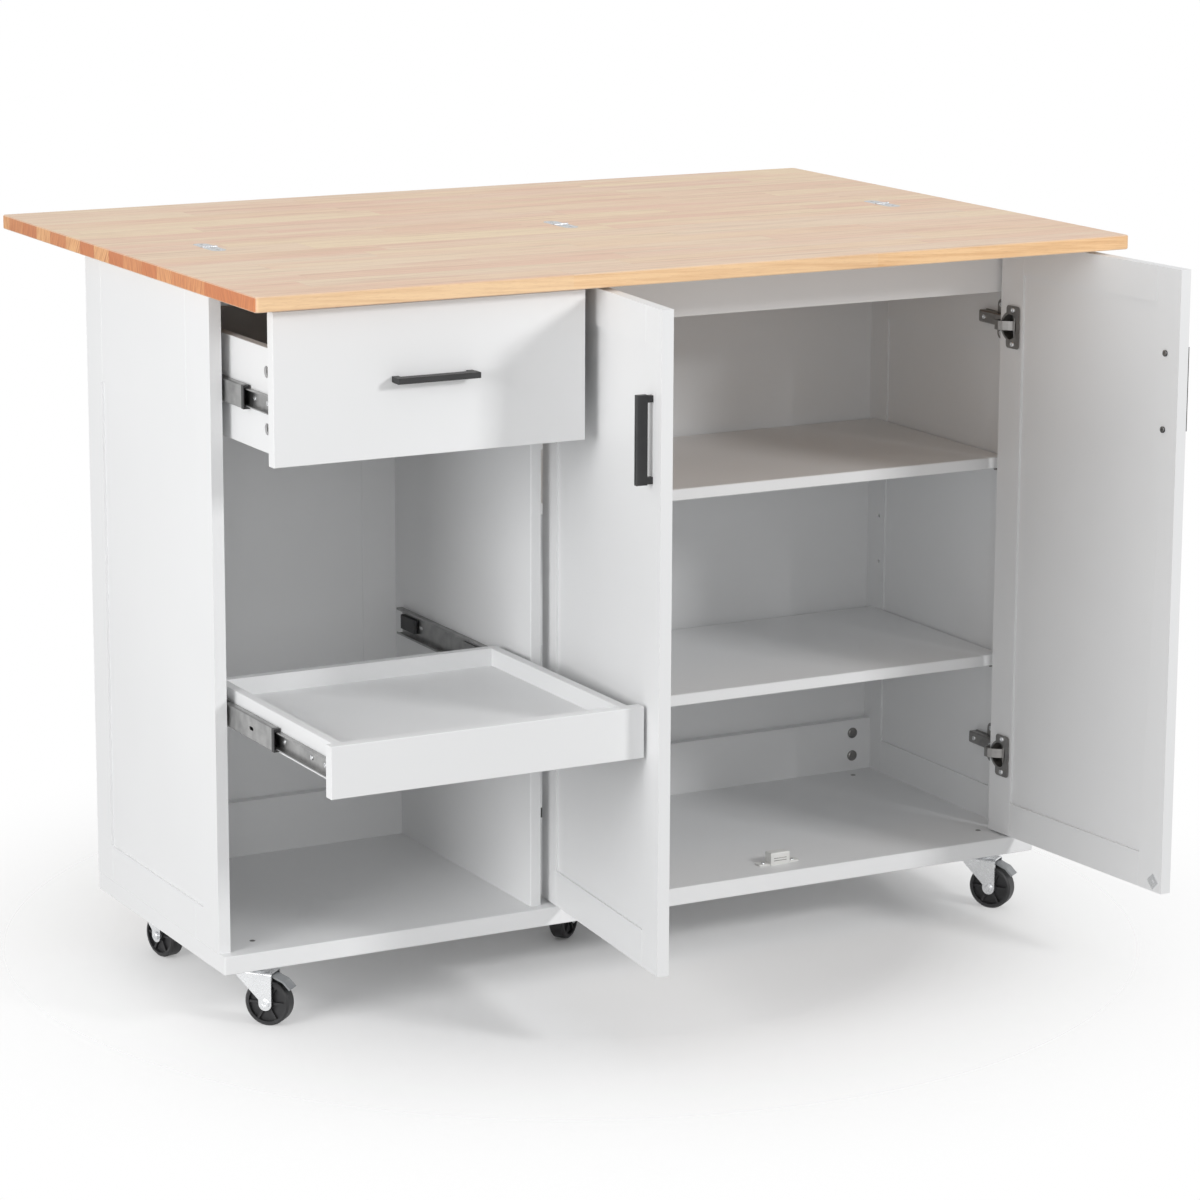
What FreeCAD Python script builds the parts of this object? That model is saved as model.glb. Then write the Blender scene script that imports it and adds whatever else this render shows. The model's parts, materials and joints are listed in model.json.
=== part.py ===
import FreeCAD, Part
import math
import os

os.makedirs("parts", exist_ok=True)
V = FreeCAD.Vector

# Rolling kitchen island with a fold-over butcher block top that slides forward.
# All lengths are in millimetres and all angles in degrees. The floor is at height 0,
# the front is towards -Y, and X runs from left to right along the length.
# It is drawn as in the photo: top out and unfolded, drawer and tray out, doors open.

# angles of the photographed pose
left_door_angle = 95.0
right_door_angle = 94.0
caster_turns = {"front_left": -48.0, "front_right": -55.0, "rear_left": -76.0,
                "rear_right": -63.0, "centre": -140.0}
full_turn = 360.0
quarter_turn = 90.0

# carcass
drawer_bay_width = 407.0
cupboard_width = 718.0
cabinet_depth = 396.0
caster_height = 80.0
base_thick = 23.0
base_lip = 16.0
base_corner = 3.0
base_edge = 1.0
panel_thick = 15.0
divider_thick = 15.0
back_thick = 8.0
back_rail_thick = 15.0
back_rail_height = 73.0
front_rail_height = 77.0
front_rail_setback = 32.0
board_recess = 3.0
board_groove = 8.0
score_depth = 0.5
side_stile_outer = 48.0
side_stile_front_inner = 73.0
side_stile_rear_inner = 51.0
side_rail_low = 46.0
side_rail_high = 157.0
back_score_inset = 48.0

# shelves and their pins
shelf_thick = 15.0
shelf_upper_top = 606.0
shelf_lower_top = 337.5
shelf_setback = 51.0
shelf_edge = 1.0
shelf_pin_radius = 2.5
shelf_pin_length = 16.0
shelf_pin_front = 63.0
shelf_pin_rear = 38.0
shelf_pin_play = 0.05
spare_pin_low = 405.0
spare_pin_high = 470.0

# small fittings of the carcass
cam_radius = 7.5
cam_proud = 1.0
cam_inset = 29.0
cam_low = 21.0
cam_spacing = 33.0

# magnetic catch on the base and its plates on the doors
catch_width = 28.0
catch_height = 16.0
catch_depth = 15.0
catch_gap = 0.3
catch_wing = 16.0
catch_wing_thick = 2.0
catch_slot_width = 3.4
catch_slot_length = 8.0
catch_rounding = 2.0
magnet_height = 10.0
magnet_width = 22.0
magnet_thick = 3.0
strike_size = 15.0
strike_thick = 1.0
strike_inset = 16.0
strike_rise = 13.2
strike_hole = 1.6

# worktop
top_height = 925.0
top_thick = 18.0
top_end_overhang = 15.0
top_travel = 155.0
top_corner = 5.0
top_edge = 1.2

# fold hinges let into the worktop
fold_shares = (-0.803, 0.008, 0.818)
fold_width = 20.0
fold_reach = 37.0
fold_plate_thick = 2.5
fold_rise = 0.3
fold_barrel_radius = 1.6
fold_barrel_room = 0.2
fold_pin_radius = 0.7
fold_pin_play = 0.05
fold_knuckles = 3
fold_knuckle_gap = 0.12

# guides under the sliding top
guide_depth = 12.0
guide_height = 20.0
guide_wall = 1.5
guide_drop = 7.0
guide_front_gap = 3.0
guide_rear_gap = 3.0
runner_length = 150.0
runner_front_gap = 10.0
runner_bar = 8.0
runner_back_gap = 0.5
runner_neck = 6.0
runner_web = 2.0
runner_flange = 22.0
runner_flange_thick = 2.5

# doors
door_gap = 2.0
door_gap_low = 2.5
door_gap_high = 4.5
door_thick = 15.0
door_stile = 45.0

# concealed hinges
hinge_high_inset = 114.5
hinge_low_inset = 107.0
cup_radius = 17.5
cup_setting = 21.5
cup_depth = 12.0
cup_wall = 1.0
cup_flange_radius = 19.5
cup_flange_thick = 1.2
cup_wing_width = 15.0
cup_wing_reach = 27.5
hinge_pin_in = 18.5
hinge_pin_back = 7.0
hinge_pin_radius = 1.5
hinge_pin_reach = 16.6
hinge_pin_play = 0.05
hinge_eye_wall = 1.0
neck_thick = 2.5
neck_width = 12.0
neck_reach = 34.5
neck_back = 33.5
neck_reach_shares = (0.725, 0.884, 0.986, 1.0, 0.884, 0.638, 0.232)
neck_back_shares = (0.343, 0.493, 0.627, 0.806, 0.94, 1.0, 1.0)
arm_front = 31.0
arm_rear = 104.0
arm_width = 16.0
arm_low = 0.5
arm_high = 9.0
arm_bevel = 1.5
mount_front = 44.0
mount_rear = 101.0
mount_width = 18.0
mount_wing_front = 56.0
mount_wing_rear = 73.0
mount_wing_reach = 26.5

# bar handles
handle_spacing = 96.0
handle_width = 7.0
handle_depth = 14.0
handle_foot = 8.0
handle_end = 5.0
handle_standoff = 21.0
handle_edge = 0.8
handle_inset = 25.5
handle_drop = 154.5
handle_screw_radius = 2.0
handle_head_radius = 4.0
handle_head_thick = 1.8
drawer_handle_rise = 2.0

# drawer and tray
drawer_out = 145.0
front_gap = 2.0
front_thick = 15.0
front_edge = 0.6
drawer_front_height = 180.5
drawer_box_drop = 47.5
drawer_box_height = 123.0
tray_front_low = 366.0
tray_front_height = 62.0
tray_box_drop = 2.0
tray_box_height = 46.0
box_rear_gap = 8.0
box_side_thick = 12.0
box_floor_thick = 4.0
box_floor_groove = 5.0
drawer_floor_rise = 10.0
tray_floor_rise = 20.0
box_cam_radius = 7.0
box_cam_depth = 8.0
box_cam_setback = 28.0
box_cam_inset = 28.0

# ball slides
slide_width = 12.7
slide_front_gap = 0.3
slide_rear_gap = 7.7
slide_inner_cut = 50.0
slide_hold = 55.0
slide_wall = 1.2
outer_half = 17.5
outer_reach = 9.6
outer_lip = 2.5
middle_half = 14.1
middle_start = 2.6
middle_reach = 10.8
middle_lip = 2.5
inner_half = 10.5
inner_start = 5.2
slide_bend = 2.0
slide_slot_radius = 2.2
slide_slot_run = 7.0
slide_slot_shares = (0.2, 0.84)
drawer_slide_rise = 59.0
tray_slide_rise = 17.0
retainer_rear_shares = (0.66, 0.96)
retainer_front_shares = (0.03, 0.46)
retainer_inset = 1.6
retainer_nose = 6.5
retainer_gap = 0.4
bumper_front_share = 0.86
bumper_rear_share = 0.985
bumper_thick = 6.0
bumper_half = 9.0

# casters
caster_side_inset = 57.0
caster_front_inset = 31.0
caster_rear_inset = 48.0
centre_caster_x = -15.0
centre_caster_y = -25.0
plate_size = 44.0
plate_thick = 2.5
plate_corner = 5.0
race_radius = 17.0
race_foot_radius = 14.0
race_height = 5.5
race_lower_height = 3.0
race_lower_radius = 15.5
kingpin_radius = 4.0
kingpin_play = 0.05
kingpin_head_radius = 6.5
kingpin_head = 2.5
fork_wall = 2.2
fork_inner_width = 23.0
fork_crown_reach = 17.0
fork_bend = 4.0
fork_eye_radius = 8.5
fork_waist = 4.0
fork_strip_proud = 0.9
wheel_radius = 29.0
wheel_width = 20.0
wheel_trail = 22.0
wheel_shoulder = 2.5
wheel_rim_radius = 23.5
wheel_web_sink = 4.5
wheel_hub_radius = 8.0
wheel_hub_length = 22.4
wheel_spokes = 6
wheel_spoke_width = 3.0
wheel_spoke_sink = 1.2
axle_radius = 3.0
axle_play = 0.05
axle_head_radius = 5.5
axle_head = 2.2
pedal_width = 18.0
pedal_thick = 2.4
pedal_pivot_back = 16.0
pedal_pivot_drop = 6.8
pedal_pin_radius = 1.3
pedal_pin_play = 0.05
pedal_eye_radius = 2.6
pedal_length = 37.0
pedal_drop = 14.0
pedal_along_shares = (0.149, 0.0, -0.378, -0.757, -1.0)
pedal_rise_shares = (-0.043, 0.0, 0.05, -0.357, -1.0)

# heights and edges that follow from the sizes above
base_low = caster_height
base_high = base_low + base_thick
carcass_high = top_height - top_thick
cabinet_width = drawer_bay_width + cupboard_width + divider_thick + 2 * panel_thick
front = -cabinet_depth / 2
rear = cabinet_depth / 2
base_front = front - base_lip
panel_x = cabinet_width / 2 - panel_thick
back_face = rear - back_thick
rail_face = back_face - back_rail_thick
divider_left = -panel_x + drawer_bay_width
divider_right = divider_left + divider_thick
top_length = cabinet_width + 2 * top_end_overhang
top_half_depth = rear - base_front
top_front = base_front - top_travel
seam = top_front + top_half_depth
door_low = base_high + door_gap_low
door_high = carcass_high - door_gap_high
door_width = (panel_x - divider_right - 3 * door_gap) / 2
doors_middle = (panel_x + divider_right) / 2
hinge_heights = (door_low + hinge_low_inset, door_high - hinge_high_inset)
shelf_tops = {"upper": shelf_upper_top, "lower": shelf_lower_top}
slide_front = front + front_thick + slide_front_gap
slide_length = rail_face - slide_rear_gap - slide_front
slide_inner_length = slide_length - slide_inner_cut
tray_out = slide_length - slide_hold
bay_middle = divider_left - drawer_bay_width / 2


def block(x, y, z):
    # straight block between two limits on each axis
    return Part.makeBox(x[1] - x[0], y[1] - y[0], z[1] - z[0], V(x[0], y[0], z[0]))


def prism(corners, path):
    # flat outline of corners pushed along a path
    points = [V(*corner) for corner in corners]
    return Part.Face(Part.makePolygon(points + points[:1])).extrude(V(*path))


def rod(radius, start, path):
    # round bar from a start point along a path
    path = V(*path)
    return Part.makeCylinder(radius, path.Length, V(*start), path)


def turned(outline):
    # outline of (radius, height) pairs spun round the upright axis
    points = [V(radius, 0, height) for radius, height in outline]
    face = Part.Face(Part.makePolygon(points + points[:1]))
    return face.revolve(V(0, 0, 0), V(0, 0, 1), full_turn)


def is_upright(edge):
    box = edge.BoundBox
    return box.ZLength > box.XLength + box.YLength


def soften(shape, radius, wanted):
    # round the straight edges that pass a test
    return shape.makeFillet(radius, [edge for edge in shape.Edges if wanted(edge)])


def bevel(shape, size, wanted):
    return shape.makeChamfer(size, [edge for edge in shape.Edges if wanted(edge)])


def union(shapes):
    joined = shapes[0].multiFuse(shapes[1:]) if len(shapes) > 1 else shapes[0]
    return joined.removeSplitter()


def flip_x(shape, x=0.0):
    # the same piece on the other side of an upright plane
    return shape.mirror(V(x, 0, 0), V(1, 0, 0))


def save(name, shapes):
    solids = []
    for shape in shapes:
        solids.extend(shape.Solids)
    whole = solids[0] if len(solids) == 1 else Part.makeCompound(solids)
    whole.exportStep("parts/" + name + ".step")


def score(across, depth, low, high):
    # narrow V groove that shows where two members meet
    corners = ((across - score_depth, depth, low), (across, depth + score_depth, low),
               (across + score_depth, depth, low), (across, depth - score_depth, low))
    return prism(corners, (0, 0, high - low))


def framed_board(width, thick, low, high, face_stiles, rear_stiles, rails):
    # two stiles, two rails and an infill, drawn from 0 to the width with the face at depth 0
    opening = (low + rails[0], high - rails[1])
    ring = block((0, width), (0, thick), (low, high))
    layers = (((0, board_recess), face_stiles), ((thick - board_recess, thick), rear_stiles))
    for depth, stiles in layers:
        ring = ring.cut(block((stiles[0], width - stiles[1]), depth, opening))
    left = max(face_stiles[0], rear_stiles[0])
    right = width - max(face_stiles[1], rear_stiles[1])
    infill = block((left - board_groove, right + board_groove), (board_recess, thick - board_recess),
                   (opening[0] - board_groove, opening[1] + board_groove))
    ring = ring.cut(infill)
    scores = [score(across, depth, ends[0], ends[1]) for across in (left, right)
              for depth in (0, thick) for ends in ((low, opening[0]), (opening[1], high))]
    ring = ring.cut(scores)
    members = [ring.common(block((0, left), (0, thick), (low, high))),
               ring.common(block((right, width), (0, thick), (low, high))),
               ring.common(block((left, right), (0, thick), (low, opening[0]))),
               ring.common(block((left, right), (0, thick), (opening[1], high)))]
    return members, infill


def pin_hole(face, side, y, z):
    # hole for a shelf pin in a board whose face looks towards the given side
    depth = shelf_pin_length / 2
    return rod(shelf_pin_radius + shelf_pin_play, (face, y, z), (-side * depth, 0, 0))


def shelf_pin_places():
    heights = [shelf_tops[name] - shelf_thick - shelf_pin_radius for name in shelf_tops]
    return [(y, z) for z in heights for y in (front + shelf_pin_front, rear - shelf_pin_rear)]


def spare_pin_places():
    return [(y, z) for z in (spare_pin_low, spare_pin_high)
            for y in (front + shelf_pin_front, rear - shelf_pin_rear)]


def caster_places():
    side = cabinet_width / 2 - caster_side_inset
    near = front + caster_front_inset
    far = rear - caster_rear_inset
    return {"front_left": (-side, near), "front_right": (side, near), "rear_left": (-side, far),
            "rear_right": (side, far), "centre": (centre_caster_x, centre_caster_y)}


def make_base():
    half = cabinet_width / 2
    board = block((-half, half), (base_front, rear), (base_low, base_high))
    board = soften(board, base_corner, is_upright)
    board = bevel(board, base_edge, lambda edge: edge.BoundBox.ZLength < base_edge)
    save("base_board", [board])


def make_side_panels():
    members, infill = framed_board(cabinet_depth, panel_thick, base_high, carcass_high,
                                   (side_stile_front_inner, side_stile_rear_inner),
                                   (side_stile_outer, side_stile_outer),
                                   (side_rail_low, side_rail_high))
    left = []
    for piece in members + [infill]:
        piece.rotate(V(0, 0, 0), V(0, 0, 1), quarter_turn)
        piece.translate(V(-panel_x, front, 0))
        left.append(piece)
    holes = [pin_hole(panel_x, -1, y, z) for y, z in shelf_pin_places() + spare_pin_places()]
    save("left_side_panel", left)
    save("right_side_panel", [flip_x(piece).cut(holes) for piece in left])


def make_divider_and_rails():
    divider = block((divider_left, divider_right), (front, back_face), (base_high, carcass_high))
    divider = bevel(divider, shelf_edge, lambda edge: is_upright(edge) and edge.BoundBox.YMax < 0)
    holes = [pin_hole(divider_right, 1, y, z) for y, z in shelf_pin_places() + spare_pin_places()]
    save("divider", [divider.cut(holes)])
    back = block((-panel_x, panel_x), (back_face, rear), (base_high, carcass_high))
    back = back.cut([score(x, back_face, base_high, carcass_high)
                     for x in (divider_left - back_score_inset, divider_right + back_score_inset)])
    save("back_panel", [back])
    bays = ((-panel_x, divider_left), (divider_right, panel_x))
    levels = ((base_high, base_high + back_rail_height),
              (carcass_high - back_rail_height, carcass_high))
    save("back_rails", [block(bay, (rail_face, back_face), level) for bay in bays for level in levels])
    near = front + front_rail_setback
    save("front_top_rail", [block((divider_right, panel_x), (near, near + panel_thick),
                                  (carcass_high - front_rail_height, carcass_high))])


def make_shelves():
    for name, height in shelf_tops.items():
        shelf = block((divider_right, panel_x), (front + shelf_setback, rail_face),
                      (height - shelf_thick, height))
        low_front = front + shelf_setback
        shelf = bevel(shelf, shelf_edge, lambda edge: edge.BoundBox.YMax < low_front + shelf_edge
                      and not is_upright(edge))
        save("shelf_" + name, [shelf])


def make_carcass_fittings():
    # shelf pins, and the round cams on the lower back rail
    half = shelf_pin_length / 2
    pieces = [rod(shelf_pin_radius, (face - half, y, z), (shelf_pin_length, 0, 0))
              for face in (divider_right, panel_x) for y, z in shelf_pin_places()]
    for step in range(2):
        height = base_high + cam_low + step * cam_spacing
        centre = (panel_x - cam_inset, rail_face, height)
        pieces.append(rod(cam_radius, centre, (0, -cam_proud, 0)))
    save("carcass_fittings", pieces)


def make_door_catch():
    # moulded housing with slotted wings and a magnet in its front
    near = front + door_thick + strike_thick + catch_gap
    far = near + catch_depth
    half = catch_width / 2
    housing = block((-half, half), (near, far), (base_high, base_high + catch_height))
    housing = soften(housing, catch_rounding, lambda edge: edge.BoundBox.ZMin > base_high)
    pocket = block((-magnet_width / 2, magnet_width / 2), (near, near + magnet_thick),
                   (base_high + catch_rounding, base_high + catch_rounding + magnet_height))
    wing = half + catch_wing
    wings = block((-wing, wing), (near + catch_rounding, far),
                  (base_high, base_high + catch_wing_thick))
    wings = soften(wings, catch_rounding, is_upright)
    body = union([housing, wings]).cut(pocket)
    middle = (near + far) / 2
    for side in (-1, 1):
        x = side * (half + catch_wing / 2)
        ends = (middle - catch_slot_length / 2, middle + catch_slot_length / 2)
        slot = block((x - catch_slot_width / 2, x + catch_slot_width / 2), ends,
                     (base_high, base_high + catch_wing_thick))
        body = body.cut(slot)
    pieces = [body, pocket]
    for piece in pieces:
        piece.translate(V(doors_middle, 0, 0))
    save("door_catch", pieces)


def oblong(x, direction, depth, grow=0.0):
    # half of an oblong with a round end, running from the seam
    radius = fold_width / 2 + grow
    end = seam + direction * (fold_reach - fold_width / 2)
    high = top_height
    strip = block((x - radius, x + radius), sorted((seam, end)), (high - depth, high))
    return union([strip, rod(radius, (x, end, high), (0, 0, -depth))])


def knuckle_rod(x, radius, first, count, shrink):
    # stretch of barrel on the fold axis, counted in knuckles from the left
    pitch = fold_width / fold_knuckles
    start = x - fold_width / 2 + first * pitch + shrink
    return rod(radius, (start, seam, top_height + fold_rise), (count * pitch - 2 * shrink, 0, 0))


def make_worktop():
    half = top_length / 2
    centres = [share * half for share in fold_shares]
    low = top_height - top_thick
    spans = {"front": (top_front, seam), "leaf": (seam, seam + top_half_depth)}
    room = fold_barrel_radius + fold_barrel_room
    plates = {"front": [], "leaf": []}
    pins = []
    for name, span in spans.items():
        direction = -1 if name == "front" else 1
        board = block((-half, half), span, (low, top_height))
        outer = span[0] if name == "front" else span[1]

        def is_outer(edge):
            box = edge.BoundBox
            return abs(box.YMin - seam) > top_edge or box.YLength > top_edge

        board = soften(board, top_corner,
                       lambda edge: is_upright(edge) and abs(edge.BoundBox.YMin - outer) < top_edge)
        board = bevel(board, top_edge, lambda edge: edge.BoundBox.ZLength < top_edge and is_outer(edge))
        cuts = [oblong(x, direction, fold_plate_thick) for x in centres]
        cuts += [knuckle_rod(x, room, 0, fold_knuckles, 0) for x in centres]
        board = board.cut(cuts)
        save("worktop_front" if name == "front" else "worktop_leaf", [board])
        for x in centres:
            own = 0 if name == "front" else 1
            plate = oblong(x, direction, fold_plate_thick)
            plate = plate.cut([knuckle_rod(x, room, first, 1, 0)
                               for first in range(1 - own, fold_knuckles, 2)])
            barrels = [knuckle_rod(x, fold_barrel_radius, first, 1, fold_knuckle_gap)
                       for first in range(own, fold_knuckles, 2)]
            play = 0 if name == "front" else fold_pin_play
            bore = knuckle_rod(x, fold_pin_radius + play, 0, fold_knuckles, 0)
            plates[name].append(union([plate] + barrels).cut(bore))
            if name == "front":
                pins.append(knuckle_rod(x, fold_pin_radius, 0, fold_knuckles, 0))
    save("fold_hinge_fixed", plates["front"] + pins)
    save("fold_hinge_moving", plates["leaf"])


def make_top_guides():
    # channels on the side panels and the runners of the worktop that slide in them
    high = carcass_high - guide_drop
    low = high - guide_height
    inner = (low + guide_wall, high - guide_wall)
    near = front + front_rail_setback + panel_thick + guide_front_gap
    far = rail_face - guide_rear_gap
    channel = block((0, guide_depth), (near, far), (low, high))
    channel = soften(channel, guide_wall, lambda edge: edge.BoundBox.YLength > guide_depth
                     and edge.BoundBox.XMax < guide_wall)
    channel = channel.cut(block((guide_wall, guide_depth), (near, far), inner))
    start = near + runner_front_gap
    w0 = guide_wall + runner_back_gap
    w1 = w0 + runner_bar
    w2 = guide_depth + runner_web
    middle = (low + high) / 2
    neck = (middle - runner_neck / 2, middle + runner_neck / 2)
    outline = ((w0, inner[0]), (w1, inner[0]), (w1, neck[0]), (w2 + runner_web, neck[0]),
               (w2 + runner_web, carcass_high - runner_flange_thick),
               (w2 + runner_flange, carcass_high - runner_flange_thick),
               (w2 + runner_flange, carcass_high), (w2, carcass_high),
               (w2, neck[1]), (w1, neck[1]), (w1, inner[1]), (w0, inner[1]))
    runner = prism([(x, start, z) for x, z in outline], (0, runner_length, 0))
    for name, piece in (("top_guides", channel), ("top_runners", runner)):
        piece.translate(V(-panel_x, 0, 0))
        save(name, [piece, flip_x(piece)])


def door_holes():
    # everything let into the left door, from its hinge edge and outer face
    holes = []
    for height in hinge_heights:
        holes.append(rod(cup_radius, (cup_setting, door_thick, height), (0, -cup_depth, 0)))
    for height in handle_heights():
        holes.append(rod(handle_screw_radius, (door_width - handle_inset, 0, height),
                         (0, door_thick, 0)))
    return holes


def handle_heights():
    middle = door_high - handle_drop
    return (middle - handle_spacing / 2, middle + handle_spacing / 2)


def bar_handle(along, across, centre, face, thick):
    # flat bar on edge, on two feet, with a screw through the board at each foot
    half = handle_width / 2
    foot = handle_foot / 2
    reach = handle_spacing / 2 + handle_end
    out = face - handle_standoff
    bar_in = out + handle_depth

    def span(low_along, high_along, y):
        a = centre + along * low_along - across * half
        b = centre + along * high_along + across * half
        return block((a.x, b.x), y, (a.z, b.z))

    bar = span(-reach, reach, (out, bar_in))
    bar = union([bar] + [span(end - foot, end + foot, (bar_in - foot, face))
                         for end in (-handle_spacing / 2, handle_spacing / 2)])
    bar = bevel(bar, handle_edge, lambda edge: edge.BoundBox.YMax < bar_in
                and edge.Length > handle_spacing)
    pieces = [bar]
    for end in (-handle_spacing / 2, handle_spacing / 2):
        place = centre + along * end
        pieces.append(union([rod(handle_screw_radius, (place.x, face, place.z), (0, thick, 0)),
                             rod(handle_head_radius, (place.x, face + thick, place.z),
                                 (0, handle_head_thick, 0))]))
    return pieces


def hinge_cup(height):
    # cup, flange and pin, all one pressed piece in the door
    y = door_thick
    cup = rod(cup_radius, (cup_setting, y - cup_depth, height), (0, cup_depth, 0))
    ring = rod(cup_flange_radius, (cup_setting, y, height), (0, cup_flange_thick, 0))
    reach = cup_wing_reach - cup_wing_width / 2
    wing = block((cup_setting - cup_wing_width / 2, cup_setting + cup_wing_width / 2),
                 (y, y + cup_flange_thick), (height - reach, height + reach))
    ends = [rod(cup_wing_width / 2, (cup_setting, y, height + side * reach),
                (0, cup_flange_thick, 0)) for side in (-1, 1)]
    whole = union([cup, ring, wing] + ends)
    hollow = rod(cup_radius - cup_wall, (cup_setting, y - cup_depth + cup_wall, height),
                 (0, cup_depth + cup_flange_thick, 0))
    pin = rod(hinge_pin_radius, (hinge_pin_in, hinge_pin_back, height - hinge_pin_reach),
              (0, 0, 2 * hinge_pin_reach))
    return union([whole.cut(hollow), pin])


def strip_outline(path, thick):
    # outline of a bent strip that follows a path with a given thickness
    sides = ([], [])
    for index, point in enumerate(path):
        before = path[max(index - 1, 0)]
        after = path[min(index + 1, len(path) - 1)]
        run = V(after[0] - before[0], after[1] - before[1], 0).normalize()
        for side, corners in zip((1, -1), sides):
            corners.append((point[0] - side * run.y * thick / 2, point[1] + side * run.x * thick / 2))
    return sides[0] + sides[1][::-1]


def hinge_arm(height):
    # goose-neck and arm on a cross-shaped mounting plate on the board beside the door
    eye_radius = hinge_pin_radius + hinge_eye_wall
    low = height - neck_width / 2
    path = [(hinge_pin_in, hinge_pin_back)]
    path += [(out * neck_reach, back * neck_back)
             for out, back in zip(neck_reach_shares, neck_back_shares)]
    corners = [(x, y, low) for x, y in strip_outline(path, neck_thick)]
    neck = prism(corners, (0, 0, neck_width))
    eye = rod(eye_radius, (hinge_pin_in, hinge_pin_back, low), (0, 0, neck_width))
    arm = block((arm_low, arm_high), (arm_front, arm_rear),
                (height - arm_width / 2, height + arm_width / 2))
    arm = bevel(arm, arm_bevel, lambda edge: edge.BoundBox.YLength > arm_width
                and edge.BoundBox.XMin > arm_low)
    bore = rod(hinge_pin_radius + hinge_pin_play, (hinge_pin_in, hinge_pin_back, low),
               (0, 0, neck_width))
    arm = union([neck, eye, arm]).cut(bore)
    plate = block((-door_gap, arm_low), (mount_front, mount_rear),
                  (height - mount_width / 2, height + mount_width / 2))
    wing_middle = (mount_wing_front + mount_wing_rear) / 2
    half = (mount_wing_rear - mount_wing_front) / 2
    reach = mount_wing_reach - half
    wing = block((-door_gap, arm_low), (mount_wing_front, mount_wing_rear),
                 (height - reach, height + reach))
    ends = [rod(half, (-door_gap, wing_middle, height + side * reach),
                (door_gap + arm_low, 0, 0)) for side in (-1, 1)]
    return [arm, union([plate, wing] + ends)]


def strike_plate():
    # square plate stood on its corner, with a hole for its screw
    x = door_width - strike_inset
    z = door_low + strike_rise
    reach = strike_size / math.sqrt(2)
    corners = ((x - reach, door_thick, z), (x, door_thick, z + reach),
               (x + reach, door_thick, z), (x, door_thick, z - reach))
    plate = prism(corners, (0, strike_thick, 0))
    return plate.cut(rod(strike_hole, (x, door_thick, z), (0, strike_thick, 0)))


def make_doors():
    members, infill = framed_board(door_width, door_thick, door_low, door_high,
                                   (door_stile, door_stile), (door_stile, door_stile),
                                   (door_stile, door_stile))
    holes = door_holes()
    middle = V(door_width - handle_inset, 0, door_high - handle_drop)
    pieces = {"frame": [member.cut(holes) for member in members],
              "panel": [infill.cut(holes)],
              "handle": bar_handle(V(0, 0, 1), V(1, 0, 0), middle, 0, door_thick),
              "hinge_cups": [hinge_cup(height) for height in hinge_heights],
              "strike": [strike_plate()]}
    arms = []
    for height in hinge_heights:
        arms.extend(hinge_arm(height))
    edge = V(divider_right + door_gap, front, 0)
    pivot = edge + V(hinge_pin_in, hinge_pin_back, 0)
    for side, angle in (("left", -left_door_angle), ("right", right_door_angle)):
        for name, shapes in pieces.items():
            placed = []
            for shape in shapes:
                shape = shape.copy()
                shape.translate(edge)
                centre = V(pivot)
                if side == "right":
                    shape = flip_x(shape, doors_middle)
                    centre.x = 2 * doors_middle - centre.x
                shape.rotate(centre, V(0, 0, 1), angle)
                placed.append(shape)
            save(side + "_door_" + name, placed)
        placed = []
        for shape in arms:
            shape = shape.copy()
            shape.translate(edge)
            placed.append(flip_x(shape, doors_middle) if side == "right" else shape)
        save(side + "_hinge_arms", placed)


def slide_slot(start, along):
    # oblong slot through the web of a slide member
    run = slide_slot_run / 2
    ends = [rod(slide_slot_radius, (start, along + side * run, 0), (slide_wall, 0, 0)) for side in (-1, 1)]
    bar = block((start, start + slide_wall), (along - run, along + run),
                (-slide_slot_radius, slide_slot_radius))
    return union([bar] + ends)


def channel(start, reach, half, lip, length, sign):
    # C-shaped slide member with lips, open towards the given sign
    t = slide_wall
    outline = ((start, -half), (reach, -half), (reach, lip - half), (reach - t, lip - half),
               (reach - t, t - half), (start + t, t - half), (start + t, half - t),
               (reach - t, half - t), (reach - t, half - lip), (reach, half - lip),
               (reach, half), (start, half))
    shape = prism([(x, 0, z) for x, z in outline], (0, length, 0))
    shape = soften(shape, slide_bend, lambda edge: edge.BoundBox.YLength > slide_width
                   and edge.BoundBox.XMax < start + t and abs(edge.BoundBox.ZMax) > half - t)
    shape = shape.cut([slide_slot(start, share * length) for share in slide_slot_shares])
    if sign < 0:
        shape = flip_x(shape, (start + reach) / 2)
    return shape


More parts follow.
